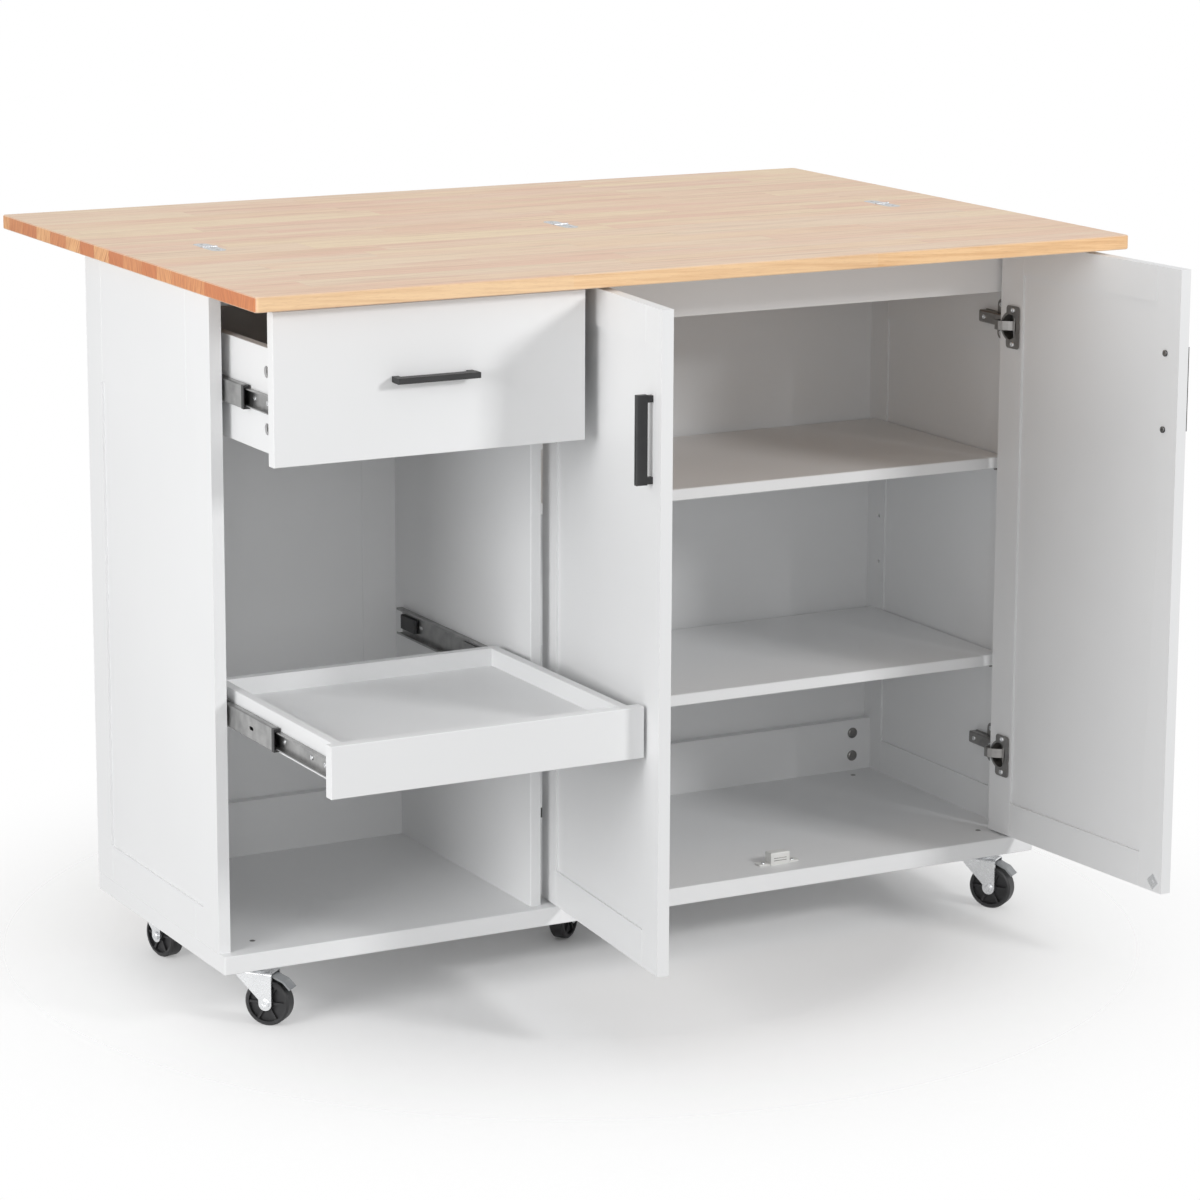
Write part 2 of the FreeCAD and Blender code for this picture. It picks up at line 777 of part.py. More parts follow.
def make_slides(name, height, out):
    # two three-member ball slides of one drawer bay; the middle members go half as far
    middle_length = slide_inner_length - retainer_nose
    middle_front = slide_front + retainer_nose - out / 2
    rows = {"outer": (channel(0, outer_reach, outer_half, outer_lip, slide_length, 1), slide_front),
            "middle": (channel(middle_start, middle_reach, middle_half, middle_lip,
                               middle_length, 1), middle_front),
            "inner": (channel(inner_start, slide_width, inner_half, slide_wall,
                              slide_inner_length, -1), slide_front - out)}
    for row, (shape, near) in rows.items():
        place_pair(name + "_slide_" + row, [shape], V(-panel_x, near, height))
    rear_strip = [share * middle_length for share in retainer_rear_shares]
    front_strip = [share * middle_length for share in retainer_front_shares]
    width = (middle_start + retainer_inset, outer_reach - slide_wall - retainer_inset / 2)
    inner_width = (inner_start + slide_wall, middle_reach - slide_wall)
    strips = []
    for side in (-1, 1):
        strips.append(block(width, rear_strip,
                            sorted((side * middle_half, side * (outer_half - slide_wall)))))
        strips.append(block(inner_width, front_strip,
                            sorted((side * inner_half, side * (middle_half - slide_wall)))))
        strips.append(block((middle_start + slide_wall, middle_reach), (-retainer_nose, 0),
                            sorted((side * (inner_half + retainer_gap), side * middle_half))))
    strips.append(block((middle_start, middle_start + slide_wall), (-retainer_nose, 0),
                        (-middle_half, middle_half)))
    nose = union(strips[2:3] + strips[5:])
    place_pair(name + "_slide_retainers", strips[:2] + strips[3:5] + [nose],
               V(-panel_x, middle_front, height))


def place_pair(name, shapes, shift):
    # a slide piece on the left of the drawer bay and its twin on the right
    pieces = []
    for shape in shapes:
        shape = shape.copy()
        shape.translate(shift)
        pieces.extend((shape, flip_x(shape, bay_middle)))
    save(name, pieces)


def make_slide_bumpers(heights):
    span = (slide_front + bumper_front_share * slide_length,
            slide_front + bumper_rear_share * slide_length)
    pieces = []
    for height in heights:
        bumper = block((slide_wall - panel_x, slide_wall + bumper_thick - panel_x), span,
                       (height - bumper_half, height + bumper_half))
        bumper = bevel(bumper, slide_bend, is_upright)
        pieces.extend((bumper, flip_x(bumper, bay_middle)))
    save("slide_bumpers", pieces)


def make_box(name, low, high, floor_rise, cams, out):
    # sides, back and floor of a drawer or tray, behind its front
    near = front + front_thick - out
    far = rail_face - box_rear_gap - out
    left = -panel_x + slide_width
    right = divider_left - slide_width
    back_span = (far - box_side_thick, far)
    floor = block((left + box_side_thick - box_floor_groove, right - box_side_thick + box_floor_groove),
                  (near, far - box_side_thick + box_floor_groove),
                  (low + floor_rise, low + floor_rise + box_floor_thick))
    side = block((left, left + box_side_thick), (near, far), (low, high))
    side = bevel(side, front_edge, lambda edge: edge.BoundBox.YLength > box_side_thick
                 and edge.BoundBox.ZMin > low)
    side = side.cut([rod(box_cam_radius, (left, near + box_cam_setback, z), (box_cam_depth, 0, 0))
                     for z in cams])
    back = block((left + box_side_thick, right - box_side_thick), back_span, (low, high))
    save(name + "_sides", [side.cut(floor), flip_x(side, bay_middle).cut(floor)])
    save(name + "_back", [back.cut(floor)])
    save(name + "_floor", [floor])


def make_front(name, low, height, out, holes):
    span = (-panel_x + front_gap, divider_left - front_gap)
    near = front - out
    board = block(span, (near, near + front_thick), (low, low + height))
    board = bevel(board, front_edge, lambda edge: edge.BoundBox.YMax < near + front_edge)
    save(name + "_front", [board.cut(holes) if holes else board])


def make_drawer():
    low = door_high - drawer_front_height
    box_high = door_high - drawer_box_drop
    box_low = box_high - drawer_box_height
    cams = (box_low + box_cam_inset, box_high - box_cam_inset)
    make_box("drawer", box_low, box_high, drawer_floor_rise, cams, drawer_out)
    middle = V(bay_middle, 0, low + drawer_front_height / 2 + drawer_handle_rise)
    face = front - drawer_out
    handle = bar_handle(V(1, 0, 0), V(0, 0, 1), middle, face, front_thick)
    holes = [rod(handle_screw_radius, (middle.x + side * handle_spacing / 2, face, middle.z),
                 (0, front_thick, 0)) for side in (-1, 1)]
    save("drawer_handle", handle)
    make_front("drawer", low, drawer_front_height, drawer_out, holes)
    make_slides("drawer", box_low + drawer_slide_rise, drawer_out)
    return box_low + drawer_slide_rise


def make_tray():
    high = tray_front_low + tray_front_height - tray_box_drop
    low = high - tray_box_height
    make_box("tray", low, high, tray_floor_rise, (), tray_out)
    make_front("tray", tray_front_low, tray_front_height, tray_out, [])
    make_slides("tray", low + tray_slide_rise, tray_out)
    return low + tray_slide_rise


def caster_plate():
    # top plate with cut corners, the upper race and the kingpin with its head
    high = caster_height
    half = plate_size / 2
    plate = block((-half, half), (-half, half), (high - plate_thick, high))
    plate = bevel(plate, plate_corner, is_upright)
    race_low = high - plate_thick - race_height
    race = turned(((0, race_low), (race_foot_radius, race_low),
                   (race_radius, high - plate_thick), (0, high - plate_thick)))
    crown = race_low - race_lower_height - fork_wall
    pin = turned(((0, race_low), (kingpin_radius, race_low), (kingpin_radius, crown),
                  (kingpin_head_radius, crown), (kingpin_radius, crown - kingpin_head),
                  (0, crown - kingpin_head)))
    return union([plate, race, pin])


def fork_side_outline():
    # side view of the fork: upright over the axle, with a slanting edge under the swivel
    crown = caster_height - plate_thick - race_height - race_lower_height
    centre = (-wheel_trail, wheel_radius)
    return [(fork_crown_reach, crown), (fork_crown_reach, crown - fork_bend - fork_wall),
            (centre[0] + fork_eye_radius, centre[1] + fork_waist),
            (centre[0] + fork_eye_radius, centre[1]),
            (centre[0] - fork_eye_radius, centre[1]),
            (centre[0] - fork_eye_radius, crown)]


def caster_fork(pedal):
    # bent fork with its lower race, the axle bolt and, with a brake, the pedal's pin
    crown = caster_height - plate_thick - race_height - race_lower_height
    outer = fork_inner_width / 2 + fork_wall
    inner = fork_inner_width / 2
    long = 2 * (fork_crown_reach + wheel_trail)
    saddle = block((-long, long), (-outer, outer), (0, crown))
    saddle = soften(saddle, fork_bend, lambda edge: edge.BoundBox.XLength > long
                    and edge.BoundBox.ZMin > crown / 2)
    saddle = saddle.cut(block((-long, long), (-inner, inner), (0, crown - fork_wall)))
    side = [(x, -outer, z) for x, z in fork_side_outline()]
    fork = saddle.common(prism(side, (0, 2 * outer, 0)))
    centre = (-wheel_trail, 0, wheel_radius)
    face = outer + fork_strip_proud
    for low, high in ((-face, -inner), (inner, face)):
        strip = block((centre[0] - fork_eye_radius, centre[0] + fork_eye_radius),
                      sorted((math.copysign(outer, low), math.copysign(face, low))),
                      (centre[2], crown - fork_bend))
        fork = fork.fuse([rod(fork_eye_radius, (centre[0], low, centre[2]), (0, high - low, 0)), strip])
    race = turned(((0, crown), (race_lower_radius, crown),
                   (race_foot_radius, crown + race_lower_height), (0, crown + race_lower_height)))
    fork = union([fork, race])
    fork = fork.cut([rod(kingpin_radius + kingpin_play, (0, 0, 0), (0, 0, caster_height)),
                     rod(axle_radius, (centre[0], -face, centre[2]), (0, 2 * face, 0))])
    bolt = union([rod(axle_radius, (centre[0], -face, centre[2]), (0, 2 * face, 0)),
                  rod(axle_head_radius, (centre[0], -face, centre[2]), (0, -axle_head, 0)),
                  rod(axle_head_radius, (centre[0], face, centre[2]), (0, axle_head, 0))])
    pieces = [fork, bolt]
    if pedal:
        x, z = pedal_axis()
        hole = rod(pedal_pin_radius, (x, -face, z), (0, 2 * face, 0))
        pieces[0] = fork.cut(hole)
        pieces.append(hole)
    return pieces


def pedal_axis():
    # pin of the brake pedal, behind and below the crown
    crown = caster_height - plate_thick - race_height - race_lower_height
    return -pedal_pivot_back, crown - pedal_pivot_drop


def wheel():
    # tread with rounded shoulders, sunk webs with spokes, and a hub, round the axle's line
    half = wheel_width / 2
    hub = wheel_hub_length / 2
    web = half - wheel_web_sink
    profile = [(axle_radius + axle_play, -hub), (wheel_hub_radius, -hub), (wheel_hub_radius, -web),
               (wheel_rim_radius, -web), (wheel_rim_radius, -half),
               (wheel_radius - wheel_shoulder, -half), (wheel_radius, wheel_shoulder - half)]
    profile = profile + [(radius, -height) for radius, height in reversed(profile)]
    body = turned(profile)
    spokes = []
    for index in range(wheel_spokes):
        top = half - wheel_spoke_sink
        spoke = block((wheel_hub_radius - wheel_spoke_width / 2, wheel_rim_radius + wheel_spoke_width / 2),
                      (-wheel_spoke_width / 2, wheel_spoke_width / 2), (-top, top))
        spoke.rotate(V(0, 0, 0), V(0, 0, 1), index * full_turn / wheel_spokes)
        spokes.append(spoke)
    body = union([body] + spokes)
    body.rotate(V(0, 0, 0), V(1, 0, 0), quarter_turn)
    body.translate(V(-wheel_trail, 0, wheel_radius))
    return body


def brake_pedal():
    # bent plate on its pin, over the tread, with a toe tab behind the wheel
    x, z = pedal_axis()
    half = pedal_width / 2
    path = [(x + along * pedal_length, z + up * pedal_drop)
            for along, up in zip(pedal_along_shares, pedal_rise_shares)]
    corners = [(a, -half, b) for a, b in strip_outline(path, pedal_thick)]
    plate = prism(corners, (0, 2 * half, 0))
    eye = rod(pedal_eye_radius, (x, -half, z), (0, 2 * half, 0))
    return union([plate, eye]).cut(rod(pedal_pin_radius + pedal_pin_play, (x, -half, z),
                                       (0, 2 * half, 0)))


def make_casters():
    plates = []
    for name, (x, y) in caster_places().items():
        braked = name.startswith("front")
        rows = {"caster_fork_": caster_fork(braked), "caster_wheel_": [wheel()]}
        if braked:
            rows["caster_pedal_"] = [brake_pedal()]
        for prefix, shapes in rows.items():
            for shape in shapes:
                shape.rotate(V(0, 0, 0), V(0, 0, 1), caster_turns[name] + full_turn / 2)
                shape.translate(V(x, y, 0))
            save(prefix + name, shapes)
        plate = caster_plate()
        plate.translate(V(x, y, 0))
        plates.append(plate)
    save("caster_plates", plates)


make_base()
make_side_panels()
make_divider_and_rails()
make_shelves()
make_carcass_fittings()
make_door_catch()
make_worktop()
make_top_guides()
make_doors()
make_slide_bumpers((make_drawer(), make_tray()))
make_casters()
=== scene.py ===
import json
import math
import random

import bmesh
import bpy
from mathutils import Matrix, Vector


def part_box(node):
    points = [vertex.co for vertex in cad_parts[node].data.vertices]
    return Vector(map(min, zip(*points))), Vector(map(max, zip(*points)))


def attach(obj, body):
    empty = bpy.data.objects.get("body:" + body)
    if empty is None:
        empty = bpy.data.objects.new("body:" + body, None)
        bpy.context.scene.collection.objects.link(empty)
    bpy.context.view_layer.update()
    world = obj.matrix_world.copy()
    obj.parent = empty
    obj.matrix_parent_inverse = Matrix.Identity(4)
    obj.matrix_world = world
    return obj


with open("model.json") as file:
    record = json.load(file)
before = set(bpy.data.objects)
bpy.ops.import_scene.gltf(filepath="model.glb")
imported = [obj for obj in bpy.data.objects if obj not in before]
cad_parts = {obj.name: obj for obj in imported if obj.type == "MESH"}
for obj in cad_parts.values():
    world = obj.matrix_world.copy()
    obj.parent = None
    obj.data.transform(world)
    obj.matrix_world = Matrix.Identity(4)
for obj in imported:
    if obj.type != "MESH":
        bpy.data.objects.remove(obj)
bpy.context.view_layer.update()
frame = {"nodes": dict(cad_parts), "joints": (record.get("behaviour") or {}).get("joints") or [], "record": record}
mm = 0.001
chance = random.Random(7)
joints = {joint["name"]: joint for joint in frame["joints"]}
print("frame loaded")


def boxOf(node):
    # lowest and highest corner of a carried-over piece, in mm
    return [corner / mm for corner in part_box(node)]


def middleOf(node):
    low, high = boxOf(node)
    return (low + high) / 2


class Wire:
    # one output of a node that takes part in sums
    def __init__(self, look, out):
        self.look = look
        self.out = out

    def sum(self, kind, other, swapped=False):
        pair = (other, self) if swapped else (self, other)
        return self.look.node("ShaderNodeMath", {"operation": kind}, {0: pair[0], 1: pair[1]})

    def __add__(self, other):
        return self.sum("ADD", other)

    def __radd__(self, other):
        return self.sum("ADD", other, True)

    def __sub__(self, other):
        return self.sum("SUBTRACT", other)

    def __rsub__(self, other):
        return self.sum("SUBTRACT", other, True)

    def __mul__(self, other):
        return self.sum("MULTIPLY", other)

    def __rmul__(self, other):
        return self.sum("MULTIPLY", other, True)

    def __truediv__(self, other):
        return self.sum("DIVIDE", other)

    def __rtruediv__(self, other):
        return self.sum("DIVIDE", other, True)

    def __lt__(self, other):
        return self.sum("LESS_THAN", other)

    def __abs__(self):
        return self.sum("ABSOLUTE", 0)

    def floor(self):
        return self.sum("FLOOR", 0)

    def fraction(self):
        return self.sum("FRACT", 0)

    def root(self):
        return self.sum("SQRT", 0)

    def ramp(self, low, high):
        # 0 below low, 1 above high
        values = {"Value": self, "From Min": low, "From Max": high}
        return self.look.node("ShaderNodeMapRange", {"clamp": True}, values)


class Look:
    # one material and its node tree
    def __init__(self, name, roughness=0.5, metallic=0.0):
        self.mat = bpy.data.materials.new(name)
        self.mat.use_nodes = True
        self.tree = self.mat.node_tree
        self.shader = self.tree.nodes["Principled BSDF"]
        self.shader.inputs["Roughness"].default_value = roughness
        self.shader.inputs["Metallic"].default_value = metallic

    def node(self, kind, settings=None, values=None, out=0):
        made = self.tree.nodes.new(kind)
        for key, value in (settings or {}).items():
            setattr(made, key, value)
        for key, value in (values or {}).items():
            socket = made.inputs[key]
            if isinstance(value, Wire):
                self.tree.links.new(value.out, socket)
            else:
                socket.default_value = value
        return Wire(self, made.outputs[out])

    def place(self, scale=(1, 1, 1)):
        # object coordinates in metres, stretched by a mapping node
        coords = self.node("ShaderNodeTexCoord", out="Object")
        return self.node("ShaderNodeMapping", {}, {"Vector": coords, "Scale": scale})

    def axes(self, vector):
        split = self.node("ShaderNodeSeparateXYZ", {}, {0: vector})
        return [Wire(self, split.out.node.outputs[index]) for index in range(3)]

    def normal(self):
        return self.node("ShaderNodeTexCoord", out="Normal")

    def join(self, x, y, z):
        return self.node("ShaderNodeCombineXYZ", {}, {0: x, 1: y, 2: z})

    def noise(self, scale, vector, detail=2.0, rough=0.5):
        values = {"Vector": vector, "Scale": scale, "Detail": detail, "Roughness": rough}
        return self.node("ShaderNodeTexNoise", {}, values)

    def chance(self, x, y, z):
        vector = self.join(x, y, z)
        return self.node("ShaderNodeTexWhiteNoise", {"noise_dimensions": "3D"}, {"Vector": vector})

    def mix(self, factor, first, second):
        # a colour is another wire, or three numbers
        pair = [value if isinstance(value, Wire) else (*value, 1) for value in (first, second)]
        settings = {"data_type": "RGBA", "clamp_factor": True}
        return self.node("ShaderNodeMix", settings, {0: factor, 6: pair[0], 7: pair[1]}, 2)

    def wear(self, **inputs):
        # links into the named sockets of the shader
        for key, value in inputs.items():
            self.tree.links.new(value.out, self.shader.inputs[key.replace("_", " ")])

    def bump(self, height, strength, distance):
        values = {"Height": height, "Strength": strength, "Distance": distance}
        return self.node("ShaderNodeBump", {}, values)


paint = {"pale": (0.83, 0.835, 0.84), "shade": (0.80, 0.805, 0.81), "patch": 2.5, "cloud": (0.35, 0.65),
         "peel": 700.0, "peelStrength": 0.05, "peelHigh": 0.0004, "roughness": 0.42, "sheen": 0.08}


def paintedBoard():
    # satin white paint with a faint cloudiness and a fine roller texture
    look = Look("paintedBoard")
    cloud = look.noise(paint["patch"], look.place(), 3.0)
    peel = look.noise(paint["peel"], look.place())
    look.wear(Base_Color=look.mix(cloud.ramp(*paint["cloud"]), paint["shade"], paint["pale"]),
              Roughness=cloud * paint["sheen"] + paint["roughness"],
              Normal=look.bump(peel, paint["peelStrength"], paint["peelHigh"]))
    return look.mat


block = {"stave": 0.05, "length": 0.42, "joint": 0.0005, "shift": 5.0,
         "wander": 0.9, "wanderScale": 0.9, "wanderStretch": 9,
         "pale": (0.86, 0.675, 0.51), "straw": (0.89, 0.71, 0.49), "rosy": (0.82, 0.54, 0.40),
         "streak": (0.48, 0.27, 0.16), "front": (0.92, 0.61, 0.335), "frontDeep": (0.66, 0.35, 0.15),
         "end": (0.62, 0.225, 0.085), "endPale": (0.82, 0.46, 0.21), "endDeep": (0.43, 0.12, 0.045),
         "seamShare": 0.5, "jointShare": 0.28, "endJointShare": 0.6, "side": (0.6, 0.9),
         "roughness": 0.42, "sheen": 0.16, "specular": 0.35, "bumpStrength": 0.10, "bumpHigh": 0.0004}
# noise drawn out along a stave: how fine along and over it, its detail and its roughness
grainNoise = {"cloud": (3.1, 21, 3.0, 0.5), "band": (1.3, 46, 2.0, 0.5), "grain": (4.2, 125, 6.0, 0.65),
              "fibre": (19, 560, 4.0, 0.6), "pores": (110, 1700, 2.0, 0.5)}
veinNoise = {"along": 7, "slant": 9, "over": 90, "up": 210, "detail": 6.0, "rough": 0.65}
ringNoise = {"over": 330, "up": 26, "slope": 420, "detail": 3.0, "rough": 0.6}
# layers of colour from below to above: the mask's low and high end, its share and its colour
topLayers = {"hue": (0.3, 1.0, 0.4, "rosy"), "cloud": (0.44, 0.66, 0.75, "rosy"),
             "band": (0.56, 0.72, 0.3, "straw"), "grain": (0.50, 0.72, 0.42, "streak"),
             "fibre": (0.5, 0.76, 0.36, "streak"), "pores": (0.6, 0.75, 0.28, "streak")}
frontLayers = {"vein": (0.42, 0.7, 0.75, "frontDeep"), "hue": (0.4, 1.0, 0.4, "straw"),
               "pores": (0.55, 0.75, 0.25, "streak")}
endLayers = {"kind": (0.3, 0.9, 1.0, "endPale"), "rings": (0.42, 0.66, 0.7, "endDeep")}


def butcherBlock():
    # jointed staves along X: pale long grain on top, a honey front edge, orange end grain
    look = Look("butcherBlock")
    x, y, z = look.axes(look.place())
    waver = look.noise(block["wanderScale"], look.join(0, y * block["wanderStretch"], 0))
    rows = y / block["stave"] + waver * block["wander"]
    row = rows.floor()
    runs = x / block["length"] + look.chance(row, 3, 7) * block["shift"]
    column = runs.floor()
    tone = look.chance(row, column, 2)
    hue = look.chance(column, row, 11)
    masks = {"hue": hue, "kind": look.chance(row, 5, 5)}

    # how far each noise moves, along and over, from one stave to the next
    moves = {"cloud": (hue * 3, tone * 5), "band": (tone * 8, hue * 9), "grain": (tone * 40, tone * 17),
             "fibre": (hue * 9, 0), "pores": (0, 0)}
    for name, (along, over, detail, rough) in grainNoise.items():
        vector = look.join(x * along + moves[name][0], y * over + moves[name][1], z * over)
        masks[name] = look.noise(1.0, vector, detail, rough)
    slanted = z * veinNoise["up"] + x * veinNoise["slant"]
    vector = look.join(x * veinNoise["along"], slanted, y * veinNoise["over"])
    masks["vein"] = look.noise(1.0, vector, veinNoise["detail"], veinNoise["rough"])
    slope = (look.chance(row, 8, 1) - 0.5) * ringNoise["slope"]    # another one for each stave
    vector = look.join(y * ringNoise["over"] + z * slope, z * ringNoise["up"], row)
    masks["rings"] = look.noise(1.0, vector, ringNoise["detail"], ringNoise["rough"])

    def layered(body, layers):
        for name, (low, high, share, colour) in layers.items():
            body = look.mix(masks[name].ramp(low, high) * share, body, block[colour])
        return body

    rowEdge = rows.fraction() < block["joint"] / block["stave"]
    runEdge = runs.fraction() < block["joint"] / block["length"]
    seam = abs(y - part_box("worktop_leaf")[0].y) < block["joint"]
    cracks = (rowEdge + runEdge) * block["jointShare"] + seam * block["seamShare"]
    body = layered(look.mix(tone, block["pale"], block["straw"]), topLayers)
    body = look.mix(cracks, body, block["streak"])
    endGrain = look.mix(rowEdge * block["endJointShare"], layered(block["end"], endLayers), block["endDeep"])

    # honey on the faces that look along Y, end grain on those that look along X
    nx, ny, nz = look.axes(look.normal())
    body = look.mix(abs(ny).ramp(*block["side"]), body, layered(block["front"], frontLayers))
    body = look.mix(abs(nx).ramp(*block["side"]), body, endGrain)

    look.shader.inputs["Specular IOR Level"].default_value = block["specular"]
    look.wear(Base_Color=body, Roughness=masks["fibre"] * block["sheen"] + block["roughness"],
              Normal=look.bump(masks["fibre"] + masks["grain"], block["bumpStrength"], block["bumpHigh"]))
    return look.mat


metals = {"slideSteel": {"pale": (0.42, 0.42, 0.415), "dark": (0.30, 0.30, 0.30), "roughness": 0.28,
                         "lines": (900, 40, 900), "patch": 60.0},
          "hingeZinc": {"pale": (0.34, 0.33, 0.32), "dark": (0.24, 0.235, 0.23), "roughness": 0.26,
                        "lines": (500, 500, 500), "patch": 60.0},
          "brightZinc": {"pale": (0.82, 0.83, 0.84), "dark": (0.75, 0.76, 0.775), "roughness": 0.17,
                         "lines": (220, 220, 220), "patch": 30.0},
          "foldZinc": {"pale": (0.66, 0.67, 0.68), "dark": (0.33, 0.34, 0.35), "roughness": 0.34,
                       "lines": (300, 300, 300), "patch": 520.0}}
plating = {"mottle": (0.3, 0.7), "sheen": 0.18, "strength": 0.06, "high": 0.0002}    # of every metal


def metal(name):
    # plated steel with fine draw lines and a faint mottle
    kind = metals[name]
    look = Look(name, kind["roughness"], 1.0)
    lines = look.noise(1.0, look.place(kind["lines"]), 3.0, 0.6)
    mottle = look.noise(kind["patch"], look.place(), 3.0)
    look.wear(Base_Color=look.mix(mottle.ramp(*plating["mottle"]), kind["dark"], kind["pale"]),
              Roughness=lines * plating["sheen"] + kind["roughness"],
              Normal=look.bump(lines, plating["strength"], plating["high"]))
    return look.mat


plastics = {"blackBar": {"pale": (0.022, 0.022, 0.023), "dark": (0.014, 0.014, 0.015), "roughness": 0.42,
                         "grain": 1400.0, "strength": 0.12},
            "blackPlastic": {"pale": (0.03, 0.03, 0.031), "dark": (0.018, 0.018, 0.019),
                             "roughness": 0.38, "grain": 1400.0, "strength": 0.12},
            "palePlastic": {"pale": (0.80, 0.80, 0.78), "dark": (0.74, 0.74, 0.72), "roughness": 0.34,
                            "grain": 1400.0, "strength": 0.12},
            "wheelRubber": {"pale": (0.028, 0.028, 0.03), "dark": (0.016, 0.016, 0.017),
                            "roughness": 0.46, "grain": 900.0, "strength": 0.2},
            "pedalGrey": {"pale": (0.33, 0.34, 0.35), "dark": (0.26, 0.27, 0.28), "roughness": 0.4,
                          "grain": 1400.0, "strength": 0.12}}
moulding = {"patch": 35.0, "cloud": (0.35, 0.65), "sheen": 0.12, "high": 0.0003}    # of every plastic


def moulded(name):
    # plastic, rubber or powder coat with a fine grain
    kind = plastics[name]
    look = Look(name, kind["roughness"])
    speck = look.noise(kind["grain"], look.place())
    patch = look.noise(moulding["patch"], look.place())
    look.wear(Base_Color=look.mix(patch.ramp(*moulding["cloud"]), kind["dark"], kind["pale"]),
              Roughness=patch * moulding["sheen"] + kind["roughness"],
              Normal=look.bump(speck, kind["strength"], moulding["high"]))
    return look.mat


finishes = {"painted_board": paintedBoard(), "butcher_block": butcherBlock(),
            "slide_steel": metal("slideSteel"), "hinge_zinc": metal("hingeZinc"),
            "bright_zinc": metal("brightZinc"), "black_bar": moulded("blackBar"),
            "black_plastic": moulded("blackPlastic"), "pale_plastic": moulded("palePlastic"),
            "wheel_rubber": moulded("wheelRubber"), "pedal_grey": moulded("pedalGrey")}
foldZinc = metal("foldZinc")
for part in frame["record"]["subparts"]:
    node = frame["nodes"][part["node"]]
    node.data.materials.clear()
    flat = part["node"].startswith("fold_hinge")    # the inlaid hinges have a mottled plating
    node.data.materials.append(foldZinc if flat else finishes[part["material_slot"]])
print("finishes on the carried-over pieces")


def asObject(name, bm, mat):
    mesh = bpy.data.meshes.new(name)
    bm.to_mesh(mesh)
    bm.free()
    mesh.materials.append(mat)
    made = bpy.data.objects.new(name, mesh)
    bpy.context.collection.objects.link(made)
    return made


def finishPiece(name, bm, mat, body):
    # cleans a new piece and hangs it on its body
    bmesh.ops.remove_doubles(bm, verts=bm.verts, dist=0.01 * mm)
    bmesh.ops.recalc_face_normals(bm, faces=bm.faces)
    piece = asObject(name, bm, mat)
    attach(piece, body)


def aimed(place, direction, turn):
    # matrix that takes local +Z to a direction at a place
    aim = Vector(direction).to_track_quat("Z", "Y").to_matrix().to_4x4()
    return Matrix.Translation(place) @ aim @ Matrix.Rotation(turn, 4, "Z")


def raised(bm, edges, share, lift):
    # draws a loop of edges up by lift and in to a share of its width, and gives the new loop
    grown = bmesh.ops.extrude_edge_only(bm, edges=edges)["geom"]
    verts = [item for item in grown if isinstance(item, bmesh.types.BMVert)]
    bmesh.ops.scale(bm, vec=(share, share, 1), verts=verts)
    bmesh.ops.translate(bm, vec=(0, 0, lift), verts=verts)
    ring = set(verts)
    return [item for item in grown if isinstance(item, bmesh.types.BMEdge) and ring.issuperset(item.verts)]


# shares of a screw head's radius, and then of its height
head = {"sides": 24, "crown": 0.86, "slot": 0.62, "slotWidth": 0.2, "brim": 1.04, "sink": 0.25}


def crossHead(bm, size, matrix):
    # domed screw head with a sunk cross in it
    radius, height = size["radius"] * mm, size["height"] * mm
    others = set(bm.verts)
    rim = bmesh.ops.create_circle(bm, segments=head["sides"], radius=radius)["verts"]
    rimEdges = [bm.edges.get(pair) for pair in zip(rim, rim[1:] + rim[:1])]
    crownEdges = raised(bm, rimEdges, head["crown"], height)
    long, half = radius * head["slot"], radius * head["slotWidth"] / 2
    corners = [(long, -half), (long, half), (half, half), (half, long), (-half, long), (-half, half),
               (-long, half), (-long, -half), (-half, -half), (-half, -long), (half, -long), (half, -half)]
    cross = [bm.verts.new((x, y, height * head["brim"])) for x, y in corners]
    crossEdges = [bm.edges.new(pair) for pair in zip(cross, cross[1:] + cross[:1])]
    floorEdges = raised(bm, crossEdges, 1, height * (head["sink"] - head["brim"]))
    bmesh.ops.triangle_fill(bm, edges=crownEdges + crossEdges, use_beauty=True, use_dissolve=False)
    for edges in (floorEdges, rimEdges):
        bmesh.ops.edgeloop_fill(bm, edges=edges)
    bmesh.ops.transform(bm, matrix=matrix, verts=[vert for vert in bm.verts if vert not in others])


def screwsOn(name, body, slotName, places, size):
    # cross heads at each (place, direction)
    bm = bmesh.new()
    for place, direction in places:
        crossHead(bm, size, aimed(place, direction, chance.uniform(0, math.pi)))
    finishPiece(name, bm, finishes[slotName], body)


# all sizes and places of the pieces from here on are in mm
foldScrew = {"radius": 2.7, "height": 0.25, "shares": (-0.803, 0.008, 0.818), "steps": (9.5, 26.0),
             "spins": {"top": 0.3, "leaf": 0.9}, "twist": 0.099}    # in radians, and radians for each mm


def foldScrews(body, side):
    # two screws in each inlaid plate on one side of the seam in the worktop
    top = boxOf("worktop_front")[1]
    bm = bmesh.new()
    for share in foldScrew["shares"]:
        for step in foldScrew["steps"]:
            place = Vector((share * top.x, top.y + side * step, top.z)) * mm
            turn = foldScrew["spins"][body] + step * foldScrew["twist"]
            crossHead(bm, foldScrew, aimed(place, (0, 0, 1), turn))
    finishPiece("foldScrews" + body, bm, finishes["slide_steel"], body)


foldScrews("top", -1)
foldScrews("leaf", 1)

# the doors are drawn open, so a place on one is turned about its hinge pin
doorPin = {"in": 18.5, "back": 7.0}    # from the door's hinge edge and outer face
doors = {}
for side, way in (("left", 1), ("right", -1)):
    hinge = joints[side + "_door_hinge"]
    pin = Vector((*hinge["pos_m"][:2], 0)) / mm
    opened = -math.radians(hinge["range_deg"][0]) * hinge["axis"][2]
    doors[side] = {"pin": pin, "way": way, "turn": Matrix.Rotation(opened, 3, "Z")}


